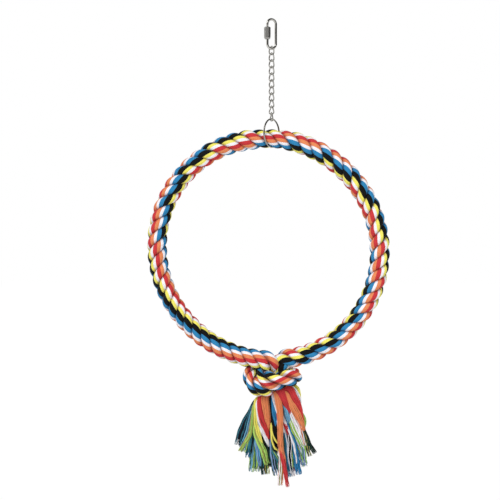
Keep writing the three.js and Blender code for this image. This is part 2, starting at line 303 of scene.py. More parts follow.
def start_finish(name, colours, values):
    """A node group for a finish: these colours and values go in, and a colour, a roughness and a height
    come out."""
    group = bpy.data.node_groups.new(name, "ShaderNodeTree")
    for socket in colours:
        group.interface.new_socket(socket, in_out="INPUT", socket_type="NodeSocketColor")
    for socket in values:
        group.interface.new_socket(socket, in_out="INPUT", socket_type="NodeSocketFloat")
    group.interface.new_socket("Color", in_out="OUTPUT", socket_type="NodeSocketColor")
    for socket in ("Roughness", "Height"):
        group.interface.new_socket(socket, in_out="OUTPUT", socket_type="NodeSocketFloat")
    return group, add_node(group, "NodeGroupInput").outputs


def noise(tree, spot, scale, detail=2):
    """How strong a noise of this scale is at a spot, from 0 to 1."""
    given = {"Vector": spot, "Scale": scale, "Detail": detail}
    return add_node(tree, "ShaderNodeTexNoise", given).outputs["Fac"]


def mixed(tree, share, first, second, blend="MIX"):
    """Two colours, the second mixed in by its share."""
    given = {"Factor": share, "A": first, "B": second}
    return add_node(tree, "ShaderNodeMix", given, data_type="RGBA", blend_type=blend).outputs["Result"]


def plating_group():
    """Bright plating: a fine drawn grain, clouds of dulled metal, and the roughness of the clouds."""
    dulled_roughness = 0.1
    group, given = start_finish("bright_plating", ("Bright", "Dull"), ("Grain", "Satin"))
    spot = add_node(group, "ShaderNodeTexCoord").outputs["Object"]
    clouds = noise(group, spot, 420, detail=3)
    dulled = add_node(group, "ShaderNodeMapRange", {
        "Value": clouds, "From Min": 0.42, "From Max": 0.72,
    }).outputs["Result"]
    metal = mixed(group, dulled, given["Bright"], given["Dull"])
    grain = noise(group, spot, given["Grain"])
    rough = calc(group, "MULTIPLY_ADD", dulled, dulled_roughness, given["Satin"])
    add_node(group, "NodeGroupOutput", {"Color": metal, "Roughness": rough, "Height": grain})
    return group


plating = plating_group()


def surface(material, finish, given, relief, depth, plain):
    """Gives a material's shader its plain values and the colour, roughness and relief of a finish."""
    tree = material.node_tree
    made = add_node(tree, "ShaderNodeGroup", given, node_tree=finish).outputs
    raised = add_node(tree, "ShaderNodeBump", {
        "Height": made["Height"], "Strength": relief, "Distance": depth,
    }).outputs["Normal"]
    finished = {"Base Color": made["Color"], "Roughness": made["Roughness"], "Normal": raised}
    feed(tree, tree.nodes["Principled BSDF"], {**plain, **finished})


def plated_steel(name, bright, dull, grain, relief, satin=0.14):
    """Plated steel with a grain of this fineness and relief, and a roughness from satin up."""
    steel = new_material(name)
    given = {"Bright": bright, "Dull": dull, "Grain": grain, "Satin": satin}
    surface(steel, plating, given, relief, depth=0.05 * mm, plain={"Metallic": 1.0})
    return steel


link_steel = plated_steel(
    "link_steel", bright=(0.6, 0.59, 0.56, 1), dull=(0.48, 0.47, 0.44, 1), grain=2600, relief=0.12,
)

link_run = 2 * link_straight + tau * link_crown - gate_gap
link_start = link_straight / 2 - gate_top + gate_gap
link_steps = 420
link_place = Matrix.Translation((0, 0, link_middle)) @ Matrix.Rotation(link_yaw, 4, "Z")
link_line = []
for i in range(link_steps + 1):
    run = link_start + link_run * i / link_steps
    link_line.append(link_place @ oval_point(link_crown, link_straight, run))


def link_radius(i, turn):
    """The bar's radius, with the thread's grooves cut into its last stretch."""
    to_end = link_run * (1 - i / link_steps)
    if to_end > thread_length:
        return bar_radius
    groove = 0.5 + 0.5 * cos(tau * (to_end / thread_pitch - turn))
    start = min(1, (thread_length - to_end) / thread_pitch)
    return bar_radius - thread_depth * groove * start


bm = start_mesh()
wind_tube(bm, carried_frames(link_line, Vector((1, 0, 0))), bar_sides, link_radius)
close_ends(bm)
quick_link = finish_piece(bm, "quick_link_bar", link_steel, ["quick_link_body"])
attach(quick_link, "quick_link")


# Quick link nut: a long hexagon sleeve turned from bar, with chamfered ends and a tapered foot. It is
# screwed down over the gap. Its bore is left plain, and runs clear of the bar's two ends.
nut_flats = 7.0 * mm
nut_foot = link_middle - 6.7 * mm
nut_bore = 2.15 * mm
nut_corner = nut_flats / sqrt(3)
nut_sides = 72
nut_sharp = radians(24)

nut_steel = plated_steel(
    "nut_steel", bright=(0.36, 0.355, 0.34, 1), dull=(0.26, 0.255, 0.24, 1), grain=3200, relief=0.16,
    satin=0.36,
)

bm = start_mesh()
rim = bmesh.ops.create_circle(bm, cap_ends=False, segments=nut_sides, radius=nut_corner)["verts"]
nut_edges = list(bm.edges)


def flat_reach(angle, turned):
    """How far a hexagon with a turned envelope of this radius reaches at an angle."""
    off = (angle + pi / 6) % (pi / 3) - pi / 6
    return min(nut_flats / 2 / cos(off), turned)


# Each ring's height above the foot and its turned radius, in millimetres, from the bore at the foot
# round to the bore at the top. A radius of 0 stands for the bore.
nut_profile = [
    (0.5, 0.0), (0.0, 2.45), (0.0, 3.0), (0.35, 3.22), (2.3, 3.98), (2.5, 4.2), (2.62, 4.2),
    (2.78, 3.78), (2.94, 4.2), (3.06, 4.2), (3.22, 3.78), (3.38, 4.2), (7.0, 4.2), (12.2, 4.2),
    (12.36, 3.78), (12.52, 4.2), (12.64, 4.2), (12.8, 3.78), (12.96, 4.2), (14.2, 4.2), (14.5, 3.95),
    (15.25, 3.2), (15.4, 3.0), (15.4, 2.45), (14.9, 0.0),
]
nut_place = link_place @ Matrix.Translation((-link_crown, 0, 0))
nut_place = Matrix.Translation((0, 0, nut_foot - link_middle)) @ nut_place
rings = [rim]
for _ in nut_profile[1:]:
    grown = bmesh.ops.extrude_edge_only(bm, edges=nut_edges)["geom"]
    nut_edges = [part for part in grown if isinstance(part, bmesh.types.BMEdge)]
    nut_edges = [edge for edge in nut_edges if edge.is_boundary]
    rings.append([part for part in grown if isinstance(part, bmesh.types.BMVert)])
for ring, (height, turned) in zip(rings, nut_profile):
    for vert in ring:
        angle = vert.co.xy.angle_signed(Vector((1, 0)))
        reach = flat_reach(angle, turned * mm) if turned else nut_bore
        vert.co = nut_place @ Vector((reach * cos(angle), reach * sin(angle), height * mm))
bmesh.ops.bridge_loops(bm, edges=[edge for edge in bm.edges if edge.is_boundary])
quick_nut = finish_piece(bm, "quick_link_sleeve", nut_steel, ["quick_link_nut"])
quick_nut.data.set_sharp_from_angle(angle=nut_sharp)
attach(quick_nut, "quick_link_nut")


# Chain: links of thin plated wire, bent to an oval, butt welded and twisted a quarter turn, so
# that each crown crosses the crown above it. The last one is twisted less and hangs narrow.
chain_count = 11
wire_radius = 0.84 * mm
wire_sides = 16
chain_crown = 3.0 * mm
chain_straight = 4.3 * mm
chain_length = chain_straight + 2 * chain_crown
chain_top = -31.8 * mm
chain_pitch = 8.2 * mm
chain_drift = radians(26)
chain_twist = radians(90)
last_twist = radians(41)
chain_steps = 72
weld_step = chain_steps * 0.62
weld_half_steps = 2.5
weld_swell = 0.07

chain_steel = plated_steel(
    "chain_steel", bright=(0.48, 0.47, 0.44, 1), dull=(0.34, 0.33, 0.3, 1), grain=3000, relief=0.2,
)


def chain_radius(i, turn):
    """Thickens the wire a little at the weld in one leg."""
    from_weld = abs(i - weld_step) / weld_half_steps
    return wire_radius * (1 + weld_swell * max(0.0, 1 - from_weld * from_weld))


for number in range(chain_count):
    twist = last_twist if number == chain_count - 1 else chain_twist
    turned = link_yaw - pi / 2 - chain_drift * number / (chain_count - 1)
    middle = Vector((0, 0, chain_top - chain_pitch * number - chain_length / 2))
    loop = []
    for i in range(chain_steps):
        run = (2 * chain_straight + tau * chain_crown) * i / chain_steps
        point = oval_point(chain_crown, chain_straight, run)
        depth = 0.5 - point.z / chain_length
        loop.append(middle + Matrix.Rotation(turned + twist * depth, 3, "Z") @ point)
    bm = start_mesh()
    wind_tube(bm, carried_frames(loop, Vector((0, 1, 0)), closed=True), wire_sides, chain_radius)
    node = f"chain_link_{number + 1:02d}"
    chain_link = finish_piece(bm, f"chain_loop_{number + 1:02d}", chain_steel, [node])
    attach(chain_link, node)


# Hang ring: a round ring of plated wire, bent round the rope and the last chain link, with its
# two cut ends butted at a seam on the left. It lies in a groove of the rope's lay.
ring_wire = 1.04 * mm
ring_sides = 24
ring_radius = 17.4 * mm
ring_middle = Vector((0, 0, -139.2 * mm))
ring_yaw = radians(57)
ring_seam_at = radians(152)
ring_seam = 0.4 * mm
cut_end_size = 0.9
ring_steps = 200

ring_steel = plated_steel(
    "ring_steel", bright=(0.38, 0.37, 0.34, 1), dull=(0.27, 0.26, 0.23, 1), grain=2800, relief=0.15,
)

half_seam = ring_seam / (2 * ring_radius)
ring_line = []
for i in range(ring_steps + 1):
    angle = ring_seam_at + half_seam + (tau - 2 * half_seam) * i / ring_steps
    point = Vector((ring_radius * cos(angle), 0, ring_radius * sin(angle)))
    ring_line.append(ring_middle + Matrix.Rotation(ring_yaw, 3, "Z") @ point)


def ring_wire_radius(i, turn):
    """Rounds off the burr at each cut end."""
    at_end = i in (0, ring_steps)
    return ring_wire * (cut_end_size if at_end else 1.0)


bm = start_mesh()
wind_tube(bm, carried_frames(ring_line, Vector((0, 1, 0))), ring_sides, ring_wire_radius)
close_ends(bm)
hang_ring = finish_piece(bm, "rope_hanger_ring", ring_steel, ["hang_ring"])
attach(hang_ring, "hang_ring")


# Rope hoop: three thick strands of dyed cotton, laid right-handed. Each strand is a bundle of
# coloured yarns, twisted back so that the yarns lie along the rope as stripes. The lay runs on into
# the knot, so the whole rope is laid out here. Angles of the hoop run clockwise from its top.
hoop_aside = -4.6 * mm
hoop_middle = Vector((hoop_aside, 0, -283.6 * mm))
hoop_radius = 137.5 * mm
lay_length = 45.5 * mm
strand_count = 3
strand_radius = 5.45 * mm
strand_spread = 7.05 * mm
strand_breadth = 1.04
yarn_stretch = 0.38
yarn_groove = 0.2 * mm
ply_length = 1.1 * mm
steps_per_lay = 36
points_round = 70

# Where the hoop's two ends pass into the knot. The front one lies further forward, to cross the other,
# and comes back into the hoop's plane over an arc.
front_end_x = -5.0 * mm
back_end_x = 32.0 * mm
front_shift = 7.0 * mm
shift_x = 2.0 * mm
shift_arc = radians(24)
hoop_from = pi - asin(front_end_x / hoop_radius)
shift_from = pi - asin(shift_x / hoop_radius)
hoop_to = 3 * pi - asin(back_end_x / hoop_radius)
lays_per_turn = tau * hoop_radius / lay_length

# The rope is fullest at the top right, and the ring draws it in where it lies.
full_swell = 0.025
full_way = radians(20)
ring_crossing = tau - asin(hoop_aside / hoop_radius)
ring_pinch = 0.09
pinch_from = 0.08
pinch_to = 0.2

# The hoop is a little out of round: longest from upper left to lower right, and out to the upper right.
oval_swell = 2.0 * mm
oval_long_way = radians(130)
side_swell = 1.0 * mm
side_way = radians(50)
swell_from = 0.1
swell_to = 0.45

# The lay is not quite even: it lags round one place on the right and runs ahead round one on the left.
late_lay = 0.029
late_way = 2.42 * pi
late_from = 0.3
late_to = 1.25
early_lay = 0.02
early_way = 1.6 * pi
early_from = 0.6
early_to = 1.35

# How many stripes the colours have wound at the foot of the hoop, what each half turn of the hoop adds,
# how that slows down, the rounds that each lay adds, and the stripes by which one strand runs ahead.
wound_first = 3.5
wound_gain = 15.7
wound_slowing = 1.4
rounds_per_lay = 2
ahead_strand = 2
ahead_stripes = 1.4
ahead_from = 0.3
ahead_to = 0.55


def dyed(red, green, blue):
    """A dye as seen, from 0 to 255, turned into the light it gives back."""
    light = []
    for part in (red, green, blue):
        part /= 255
        light.append(part / 12.92 if part <= 0.04045 else ((part + 0.055) / 1.055) ** 2.4)
    return (*light, 1.0)


dye = {
    "black": dyed(9, 10, 11),
    "yellow": dyed(240, 231, 106),
    "white": dyed(243, 241, 246),
    "red": dyed(201, 56, 60),
    "orange": dyed(229, 138, 90),
    "blue": dyed(47, 131, 182),
}

# The coloured yarns round a strand, with the share of its girth that each takes up.
stripes = [
    ("black", 0.2), ("yellow", 0.12), ("white", 0.11), ("red", 0.16), ("orange", 0.14),
    ("white", 0.11), ("blue", 0.16),
]
# Painted shade: this tone darkens the strands where they meet, as shade falls in the creases.
crease_shade_tone = (0.6, 0.5, 0.54, 1)
crease_shade_from = radians(57)
crease_shade_full = radians(77)
edge_waver = 0.012
stripe_count = len(stripes)
stripe_edges = [sum(share for _, share in stripes[:k]) for k in range(stripe_count + 1)]


def ease(value, low, high):
    """A smooth step from 0 at low to 1 at high."""
    share = min(1.0, max(0.0, (value - low) / (high - low)))
    return share * share * (3 - 2 * share)


def yarn_group():
    """Cotton yarn along a tube: fine threads with their ply, painted shade between them, and uneven dye.
    """
    least_light, ridge_light, fibre_light, cloud_light = 0.66, 0.16, 0.3, 0.14
    ply_height, fibre_height = 0.5, 0.6
    least_rough, fibre_rough = 0.76, 0.2
    ridge_sharpness = 0.6
    fibre_length = 0.35
    group, given = start_finish("cotton_yarn", ("Dye",), ("Along", "Round", "Threads", "Plies"))
    threads = calc(group, "MULTIPLY", given["Round"], given["Threads"])
    plies = calc(group, "MULTIPLY", given["Along"], given["Plies"])
    across = calc(group, "MULTIPLY", calc(group, "PINGPONG", threads, 0.5), 2.0)
    ridge = calc(group, "POWER", across, ridge_sharpness)
    ply = calc(group, "PINGPONG", calc(group, "ADD", threads, plies), 0.5)
    spot = add_node(group, "ShaderNodeCombineXYZ", {
        "X": calc(group, "MULTIPLY", plies, fibre_length), "Y": threads,
    }).outputs[0]
    fibres = noise(group, spot, 1.6, detail=4)
    clouds = noise(group, add_node(group, "ShaderNodeTexCoord").outputs["Object"], 160)
    # Painted shade: each thread is lighter on its crest and darkened towards the lines between threads.
    light = calc(group, "MULTIPLY_ADD", ridge, ridge_light, least_light)
    light = calc(group, "MULTIPLY_ADD", fibres, fibre_light, light)
    light = calc(group, "MULTIPLY_ADD", clouds, cloud_light, light)
    grey = add_node(group, "ShaderNodeCombineColor", {
        "Red": light, "Green": light, "Blue": light,
    }).outputs[0]
    tone = mixed(group, 1.0, given["Dye"], grey, "MULTIPLY")
    height = calc(group, "MULTIPLY_ADD", ply, ply_height, ridge)
    height = calc(group, "MULTIPLY_ADD", fibres, fibre_height, height)
    rough = calc(group, "MULTIPLY_ADD", fibres, fibre_rough, least_rough)
    add_node(group, "NodeGroupOutput", {"Color": tone, "Roughness": rough, "Height": height})
    return group


cotton = yarn_group()


def cotton_material(name, length, threads, dye_socket):
    """Cotton on a wound tube of this length; dye_socket(tree, turn) gives its colour."""
    material = new_material(name)
    tree = material.node_tree
    winding = add_node(tree, "ShaderNodeUVMap", uv_map="UVMap").outputs["UV"]
    wind = add_node(tree, "ShaderNodeSeparateXYZ", {0: winding}).outputs
    given = {
        "Along": wind["X"], "Round": wind["Y"], "Threads": threads, "Plies": length / ply_length,
        "Dye": dye_socket(tree, wind["Y"]),
    }
    plain = {"Sheen Weight": 0.06, "Sheen Roughness": 0.5, "Specular IOR Level": 0.2}
    surface(material, cotton, given, relief=0.5, depth=0.2 * mm, plain=plain)
    return material


def stripe_dyes(tree, turn):
    """The coloured yarns side by side round a strand, with wavering edges, and painted shade in the
    creases.
    """
    waver = noise(tree, add_node(tree, "ShaderNodeTexCoord").outputs["Object"], 900)
    turn = calc(tree, "MULTIPLY_ADD", waver, edge_waver, turn)
    ramp = add_node(tree, "ShaderNodeValToRGB", {"Fac": turn})
    ramp.color_ramp.interpolation = "CONSTANT"
    while len(ramp.color_ramp.elements) < stripe_count:
        ramp.color_ramp.elements.new(0.5)
    for k, (name, _) in enumerate(stripes):
        ramp.color_ramp.elements[k].position = stripe_edges[k] + (edge_waver / 2 if k else 0)
        ramp.color_ramp.elements[k].color = dye[name]
    # Painted shade: the crease mark darkens the dye in the creases between the strands.
    crease_shade = add_node(tree, "ShaderNodeAttribute", attribute_name="crease_shade").outputs["Fac"]
    return mixed(tree, crease_shade, ramp.outputs["Color"], crease_shade_tone, "MULTIPLY")


strand_cotton = cotton_material("strand_cotton", length=1.15, threads=49, dye_socket=stripe_dyes)


# A step along the rope: its middle, two ways square to it, the turn of its lay, its size, and how far
# the colours have wound on each strand.
RopeStep = namedtuple("RopeStep", "place out side turn size wound")


def hoop_swell(angle):
    """How far the hoop is out of round at an angle. It is round where the ring holds it."""
    oval = oval_swell * cos(2 * (angle - oval_long_way)) + side_swell * cos(angle - side_way)
    return oval * ease(abs(angle - ring_crossing), swell_from, swell_to)


def laid(angle):
    """The lays wound from the ring to an angle of the hoop, late on the right and early on the left."""
    late = late_lay * (1 - ease(abs(angle - late_way), late_from, late_to))
    early = early_lay * (1 - ease(abs(angle - early_way), early_from, early_to))
    return lays_per_turn * (angle - late + early - ring_crossing) / tau


def stripe_lead(angle, strand):
    """How far the colours have wound round a strand at an angle of the hoop."""
    past = (angle - pi) / pi
    lays = laid(angle) + 0.25 - (strand + 0.5) / strand_count
    wound = wound_first + wound_gain * past - wound_slowing * past * past
    wound += rounds_per_lay * stripe_count * lays
    if strand == ahead_strand:
        wound += ahead_stripes * ease(past, ahead_from, ahead_to)
    return -tau * wound / stripe_count


def hoop_step(angle):
    """A step of the rope on the hoop: its place, the ways out of the hoop and to its front, and its
    winding. The ring draws the rope in a little where it lies."""
    out = Vector((sin(angle), 0, cos(angle)))
    depth = -front_shift * (1 - ease(angle - shift_from, 0, shift_arc))
    place = hoop_middle + out * (hoop_radius + hoop_swell(angle)) + Vector((0, depth, 0))
    turn = tau * laid(angle) + pi - pi / strand_count
    wound = [stripe_lead(angle, strand) for strand in range(strand_count)]
    pinch = ring_pinch * (1 - ease(abs(angle - ring_crossing), pinch_from, pinch_to))
    full = 1 + full_swell * cos(angle - full_way)
    return RopeStep(place, out, Vector((0, -1, 0)), turn, full - pinch, wound)


def smooth_line(points, spacing):
    """Evenly spaced points on a smooth curve through the given ones."""
    fineness = 24
    ends = [points[0] * 2 - points[1], *points, points[-1] * 2 - points[-2]]
    dense = []
    for a, b, c, d in zip(ends, ends[1:], ends[2:], ends[3:]):
        for k in range(fineness):
            t = k / fineness
            bend = (c - a) * t
            bend += (a * 2 - b * 5 + c * 4 - d) * t * t
            bend += (b * 3 - a - c * 3 + d) * t * t * t
            dense.append(b + bend * 0.5)
    dense.append(points[-1])
    total = sum((b - a).length for a, b in zip(dense, dense[1:]))
    count = max(2, round(total / spacing))
    even = [dense[0]]
    passed = 0.0
    for a, b in zip(dense, dense[1:]):
        gap = (b - a).length
        while len(even) < count and passed + gap >= total * len(even) / count:
            even.append(a.lerp(b, (total * len(even) / count - passed) / gap))
        passed += gap
    even.append(dense[-1])
    return even


def end_steps(route, angle, onward, slack, slips):
    """Carries the rope on from the hoop along the route of an end. onward is 1 past the back end and -1
    past the front one. slack is how many turns the lay loses between two runs in millimetres, and each
    of the slips is how many stripes the colours shift between two."""
    start = hoop_step(angle)
    near = (start.place - hoop_foot) / mm
    points = smooth_line([Vector(point) * mm for point in [(*near, start.size), *route]], knot_sample)
    line = [hoop_foot + point.xyz for point in points]
    loose, loose_from, loose_to = slack
    steps = []
    for i, (place, out, side) in enumerate(carried_frames(line, start.out)):
        run = i * knot_sample
        turned = onward * tau * (run / knot_lay - loose * ease(run, loose_from * mm, loose_to * mm))
        shift = -yarn_backing * turned
        for slip, low, high in slips:
            shift -= tau * slip * ease(run, low * mm, high * mm) / stripe_count
        wound = [lead + shift for lead in start.wound]
        steps.append(RopeStep(place, out, side * onward, start.turn + turned, points[i].w / mm, wound))
    return steps[1:]


# The two ends' routes through the knot: millimetres right, back and up from the hoop's lowest point, and
# the rope's size there.
knot_lay = 46 * mm
knot_sample = 1.1 * mm
yarn_backing = 2.236
hoop_foot = hoop_middle - Vector((0, 0, hoop_radius))
front_route = [
    (-2, -7, 0.2, 1.02), (1.4, -6.4, -1.8, 1), (3.6, -3.4, -4.2, 0.94), (5, 2.4, -5.8, 0.86),
    (8, 9.4, -6.2, 0.76), (13.5, 15, -7, 0.7), (20.5, 16.8, -10.5, 0.7), (27, 14.5, -14.5, 0.72),
    (31.5, 8.5, -18, 0.76), (32.5, 1, -19.8, 0.82), (29.5, -6.5, -20.8, 0.86), (22, -11.5, -22.3, 0.9),
    (13.5, -13, -24, 0.92), (5, -12.4, -24.3, 0.92), (-2, -9.8, -21.8, 0.86), (-7, -4.5, -17.5, 0.76),
    (-8, 2, -15, 0.7), (-5, 8, -18, 0.68), (1, 11.5, -26, 0.7), (3.2, 13.2, -34, 0.7),
    (2, 13.8, -41, 0.64), (-0.5, 14, -48, 0.5),
]
back_route = [
    (26, 0, 2.8, 1), (20.5, 0.5, 1.6, 1.02), (16.2, 1.4, -2.2, 1.04), (15.2, 2.6, -8, 1.02),
    (15, 4, -14, 0.94), (12.2, 6.4, -18, 0.82), (6, 8.5, -18, 0.76), (-2, 11, -16, 0.75),
    (-10, 12.5, -13, 0.75), (-16.5, 9.8, -12, 0.77), (-20.3, 4.6, -14.8, 0.78),
    (-21.4, -0.8, -20.5, 0.78), (-19.6, -5.5, -26.5, 0.78), (-14.8, -8.2, -32.3, 0.78),
    (-8.5, -8.8, -35.5, 0.78), (-1, -7, -34.5, 0.75), (5, -2, -33, 0.7), (9, 3, -33.5, 0.66),
    (12, 6, -37, 0.62),
]
front_end = end_steps(
    front_route, hoop_from, onward=-1, slack=(0.34, 70, 125),
    slips=[(-1.7, 14, 42), (-2.3, 74, 110), (-1.2, 100, 122)],
)
back_end = end_steps(
    back_route, hoop_to, onward=1, slack=(0, 0, 1), slips=[(2.8, 30, 62), (0.9, 70, 104)],
)
hoop_count = round((hoop_to - hoop_from) / tau * lays_per_turn * steps_per_lay)
hoop = [hoop_step(hoop_from + (hoop_to - hoop_from) * i / hoop_count) for i in range(hoop_count + 1)]
rope = [*reversed(front_end), *hoop, *back_end]
hoop_first = len(front_end)
hoop_last = hoop_first + hoop_count


def strand_frames(strand):
    """A strand's line through the whole rope, with the ways out of the rope and round it."""
    line = []
    ways = []
    for step in rope:
        turn = step.turn - strand * tau / strand_count
        outward = step.out * cos(turn) + step.side * sin(turn)
        ways.append((outward, step.side * cos(turn) - step.out * sin(turn)))
        line.append(step.place + outward * strand_spread * step.size)
    frames = []
    for i, (outward, onward) in enumerate(ways):
        heading = (line[min(i + 1, len(line) - 1)] - line[max(i - 1, 0)]).normalized()
        outward = (outward - heading * outward.dot(heading)).normalized()
        onward = onward - heading * onward.dot(heading)
        onward = (onward - outward * onward.dot(outward)).normalized()
        frames.append((line[i], outward, onward))
    return frames


strand_lines = [strand_frames(strand) for strand in range(strand_count)]


def strand_swell(turn):
    """Each coloured bundle of yarn stands a little proud, with a fine crease beside it."""
    for low, high in zip(stripe_edges, stripe_edges[1:]):
        if turn <= high:
            break
    return yarn_groove * (sqrt(abs(sin(pi * (turn - low) / (high - low)))) - 1)


def wind_strand(bm, strand, first, last):
    """Winds one strand from one step of the rope to another, pressed broad by its neighbours."""
    steps = rope[first: last + 1]
    # The mark for the painted shade in the creases, where the strands meet.
    crease_shade = bm.verts.layers.float.get("crease_shade") or bm.verts.layers.float.new("crease_shade")

    def paint_crease_shade(vert, angle):
        """Marks the sides of the strand, where it meets its neighbours, for painted shade in the creases.
        """
        vert[crease_shade] = ease(-cos(angle), -cos(crease_shade_from), -cos(crease_shade_full))

    def wound_angle(i, turn):
        """Spreads the yarns out on the strand's outer side and crowds them at the core."""
        angle = tau * turn + steps[i].wound[strand]
        return angle + yarn_stretch * sin(angle)

    def reach(i, turn):
        """The strand's radius, drawn out to an oval across the rope."""
        angle = wound_angle(i, turn)
        full = (strand_radius + strand_swell(turn)) * steps[i].size
        return full / sqrt(cos(angle) ** 2 + (sin(angle) / strand_breadth) ** 2)

    frames = strand_lines[strand][first: last + 1]
    wind_tube(bm, frames, points_round, reach, wound_angle, paint_crease_shade)


for strand in range(strand_count):
    bm = start_mesh()
    wind_strand(bm, strand, hoop_first, hoop_last)
    close_ends(bm)
    node = f"rope_strand_{strand + 1}"
    rope_strand = finish_piece(bm, f"hoop_strand_{strand + 1}", strand_cotton, [node])
    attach(rope_strand, "rope_hoop")


# Core wire: a dull steel wire inside the lay, which keeps the hoop round. It stays as the CAD made
# it, hidden between the strands.
core_steel = plated_steel(
    "core_steel", bright=(0.42, 0.41, 0.4, 1), dull=(0.3, 0.29, 0.28, 1), grain=1800, relief=0.5,
)
core_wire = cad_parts["core_wire"]
core_wire.data.materials.clear()
core_wire.data.materials.append(core_steel)


# Knot: the rope's two ends, bent round each other and pulled tight. The rope is thinner where it is
# pulled tightest. The front end makes the band across the knot, and the back end makes its left lobe.
knot_cotton = cotton_material("knot_cotton", length=0.22, threads=42, dye_socket=stripe_dyes)
for name, node, first, last in (
    ("knot_front_rope", "knot_front_end", 0, hoop_first),
    ("knot_back_rope", "knot_back_end", hoop_last, len(rope) - 1),
):
    bm = start_mesh()
    for strand in range(strand_count):
        wind_strand(bm, strand, first, last)
    close_ends(bm)
    rope_end = finish_piece(bm, name, knot_cotton, [node])
    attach(rope_end, "rope_hoop")


# Tassel: below the knot the two rope ends are unlaid into locks of loose cotton yarn. The locks
# keep their dye, wander and crimp towards the ends, and are cut off blunt with short fray.
lock_step = 3.0 * mm
yarn_pitch = 0.85 * mm
yarn_thick = 0.55 * mm
yarn_sway = 0.4 * mm
yarn_wave = (11, 19)
yarn_drift = 0.1
yarn_tone = (0.84, 1.06)
fewest_yarns = 6
girth_share = 0.76
depth_share = 0.24
least_depth = 0.4 * mm
# Painted shade: the cores are dyed this much darker than their locks, so the gaps between the yarns look
# shaded.
painted_core_shade = 0.3
taper_from = 0.8
core_taper, yarn_taper = 0.5, 0.3
core_sides, yarn_sides, fray_sides = 8, 6, 4
frays_per_yarn = 2
dye["lime"] = dyed(168, 208, 104)
dye["navy"] = dyed(18, 42, 68)
dye["teal"] = dyed(54, 120, 136)
dye["green"] = dyed(26, 62, 50)
dye["lilac"] = dyed(138, 160, 206)
dye["sky"] = dyed(116, 174, 208)
dye["olive"] = dyed(172, 162, 90)


def tint_dyes(tree, turn):
    """The dye that is kept at each point of a lock."""
    return add_node(tree, "ShaderNodeVertexColor", layer_name="tint").outputs["Color"]


tail_cotton = cotton_material("tail_cotton", length=0.1, threads=5, dye_socket=tint_dyes)


def toned(name, tone):
    """A dye made darker or paler."""
    red, green, blue, _ = dye[name]
    return (red * tone, green * tone, blue * tone, 1.0)


def tapered(along, taper):
    """The part of its thickness that a yarn or core keeps towards its end."""
    return 1 - taper * ease(along, taper_from, 1)


def add_lock(bm, colours, points, seed):
    """A flattened lock of yarns round a full core, along a given line. Each point gives the lock's width
    there too."""
    chance = random.Random(seed)
    tint = bm.verts.layers.float_color["tint"]
    spots = smooth_line([Vector(point) * mm for point in points], lock_step)
    frames = carried_frames([hoop_foot + spot.xyz for spot in spots], Vector((0, -1, 0)))
    last = len(frames) - 1
    twist = chance.uniform(-0.5, 0.5)

    def half_deep(i):
        """Half the lock's depth, less than its width where it is broad."""
        return min(0.5 * spots[i].w, depth_share * spots[i].w + least_depth)

    def lock_place(i, across, deep, sway):
        """A place in the lock, from -1 to 1 across it and from back to front, moved by the sway."""
        point, out, side = frames[i]
        turn = twist * i / last
        aside = across * 0.5 * spots[i].w + sway
        ahead = deep * half_deep(i) + sway * 0.5
        aside_way = side * cos(turn) + out * sin(turn)
        ahead_way = out * cos(turn) - side * sin(turn)
        return point + aside_way * aside + ahead_way * ahead

    def thread(line, sides, colour, thick_at):
        """Adds a dyed tube along a line."""
        frames = carried_frames(line, Vector((0, -1, 0)))
        for vert in wind_tube(bm, frames, sides, lambda i, turn: thick_at(i)):
            vert[tint] = colour

    # Painted shade: each lock's core takes its first colour, darkened, so the gaps between its yarns look
    # shaded.
    shaded_core_dye = toned(colours[0], painted_core_shade)
    core_end = max(2, last - 2)
    for across in (-0.5, 0, 0.5):
        core = [lock_place(i, across, 0, 0) for i in range(core_end + 1)]
        thread(core, core_sides, shaded_core_dye, lambda i: half_deep(i) * tapered(i / core_end, core_taper))
    broadest = max(spot.w for spot in spots)
    yarns = max(fewest_yarns, round(pi * girth_share * broadest / yarn_pitch))
    for k in range(yarns):
        angle = tau * (k + chance.uniform(-0.25, 0.25)) / yarns
        wave = chance.uniform(0, tau)
        pace = tau / chance.uniform(*yarn_wave)
        drift = chance.uniform(-yarn_drift, yarn_drift) * broadest
        stop = last - chance.choice((0, 0, 0, 0, 1))
        yarn = []
        for i in range(stop + 1):
            loose = (i / last) ** 2
            sway = yarn_sway * loose * sin(pace * i * lock_step / mm + wave) + drift * loose
            yarn.append(lock_place(i, cos(angle), sin(angle), sway))
        colour = toned(chance.choice(colours), chance.uniform(*yarn_tone))
        thread(yarn, yarn_sides, colour, lambda i: yarn_thick * tapered(i / stop, yarn_taper))
        heading = (yarn[-1] - yarn[-2]).normalized()
        for _ in range(frays_per_yarn):
            lean = Vector((chance.uniform(-1, 1), chance.uniform(-1, 1), 0)) * mm
            reach = heading * chance.uniform(0.6, 1.8) * mm
            fray = [
                yarn[-1] - heading * mm,
                yarn[-1] + reach * 0.5 + lean * 0.15,
                yarn[-1] + reach + lean * 0.4,
            ]
            thread(fray, fray_sides, colour, lambda i: yarn_thick * (0.5 - 0.1 * i))


def add_tail(name, node, seed, locks):
    """One strand's locks, which hang from the knot. Each lock has the colours of its yarns, the core's
    first, and the points of its line."""
    bm = start_mesh()
    bm.verts.layers.float_color.new("tint")
    for number, (colours, points) in enumerate(locks):
        lock = start_mesh()
        lock.verts.layers.float_color.new("tint")
        add_lock(lock, colours.split(), points, seed + number)
        close_ends(lock)
        mesh = bpy.data.meshes.new("lock")
        lock.to_mesh(mesh)
        lock.free()
        bm.from_mesh(mesh)
        bpy.data.meshes.remove(mesh)
    tail = finish_piece(bm, name, tail_cotton, [node])
    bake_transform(tail)


